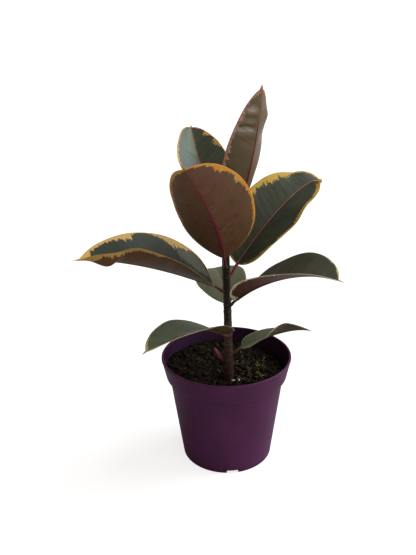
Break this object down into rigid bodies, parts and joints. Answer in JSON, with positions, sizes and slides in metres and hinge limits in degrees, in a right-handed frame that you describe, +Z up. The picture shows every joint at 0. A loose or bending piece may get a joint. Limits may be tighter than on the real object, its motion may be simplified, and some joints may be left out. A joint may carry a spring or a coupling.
{
  "type": "potted rubber plant",
  "caption": "Young variegated rubber plant with broad leathery leaves on one stem, rooted in soil in a tapered plastic nursery pot with a collar.",
  "frame": {"origin": "middle of the pot's flat base, on the surface that the pot stands on", "axes": "+Z up along the pot's axis and the stem, +X to the viewer's right, +Y away from a viewer in front"},
  "size_m": [0.2436, 0.2349, 0.3973],
  "materials": {
    "purple_plastic": "satin moulded polypropylene",
    "peat_soil": "rough, damp peat mix",
    "stem_bark": "smooth young bark",
    "leaf_upper": "glossy, waxy, dark green with cream and yellow margins",
    "leaf_under": "satin, maroon brown with a red midrib",
    "leaf_rib": "satin crimson midribs and leaf stalks",
    "bud_sheath": "satin red sheath",
    "perlite": "matte, porous white grains",
    "bark_chips": "rough bark chips and root fibres"
  },
  "bodies": {
    "root": {"pot": "purple_plastic", "soil": "peat_soil", "stem": "stem_bark", "leaf_front": "leaf_upper", "leaf_top": "leaf_upper", "leaf_back_left": "leaf_upper", "leaf_right_upper": "leaf_upper", "leaf_left_long": "leaf_upper", "leaf_right_mid": "leaf_upper", "leaf_back_lower": "leaf_upper", "leaf_left_low": "leaf_upper", "leaf_right_low": "leaf_upper", "basal_bud": "bud_sheath", "apical_bud": "bud_sheath"}
  },
  "joints": []
}
